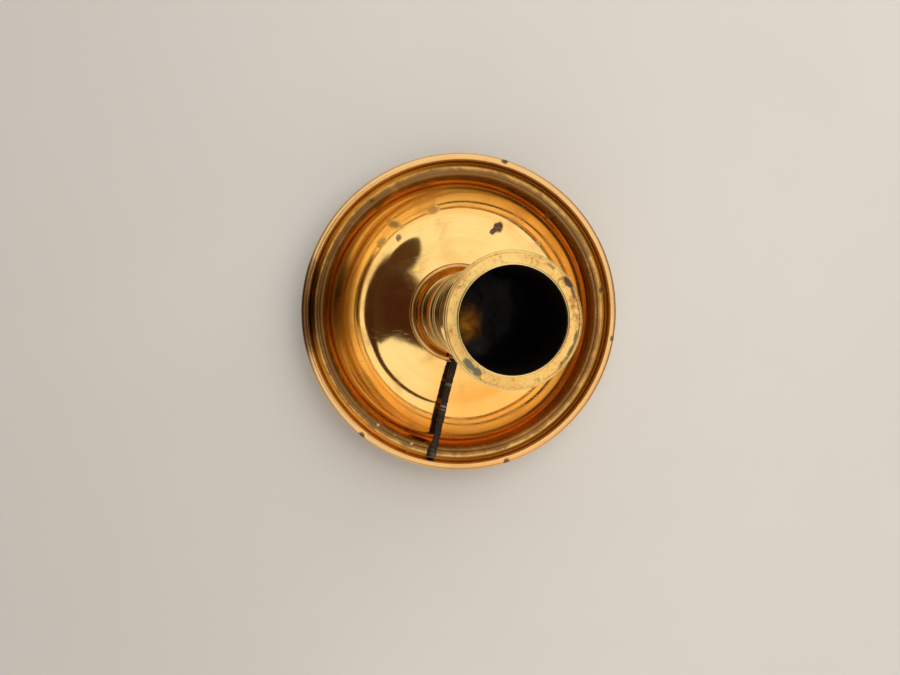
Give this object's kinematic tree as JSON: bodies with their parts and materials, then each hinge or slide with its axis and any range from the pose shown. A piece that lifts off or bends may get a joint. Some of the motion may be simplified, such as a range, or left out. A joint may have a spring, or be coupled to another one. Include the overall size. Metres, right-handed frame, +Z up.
{
  "type": "chamberstick",
  "caption": "Round dished brass pan with a rolled rim, carrying a stout turned stem that ends in a candle socket with a flat lip.",
  "frame": {"origin": "centre of the felt pad's underside, on the stem's axis", "axes": "+Z up along the stem and out of the candle socket; +X and +Y in the plane the pad stands on, with the spent match lying towards -Y"},
  "size_m": [0.101, 0.101, 0.095],
  "materials": {
    "pan_brass": "polished, worn and stained",
    "stem_brass": "polished, tarnished in the grooves",
    "socket_brass": "polished outside, sooted in the bore",
    "lip_brass": "heat-marked and speckled",
    "wire_iron": "dull drawn wire",
    "fastener_steel": "plain zinc",
    "felt": "green baize",
    "charred_wood": "charred, with ash"
  },
  "bodies": {
    "candlestick": {"drip_pan": "pan_brass", "rim_wire": "wire_iron", "felt_pad": "felt", "stem_foot": "stem_brass", "stem_pillar": "stem_brass", "stem_knop": "stem_brass", "candle_socket": "socket_brass", "socket_lip": "lip_brass", "centre_stud": "fastener_steel", "base_washer": "fastener_steel", "base_nut": "fastener_steel"},
    "loose_match": {"spent_match": "charred_wood"}
  },
  "joints": [
    {"name": "match_lift", "type": "slide", "parent": "candlestick", "child": "loose_match", "axis": [-0.0217, -0.1022, 0.9945], "range_m": [0, 0.1]}
  ]
}
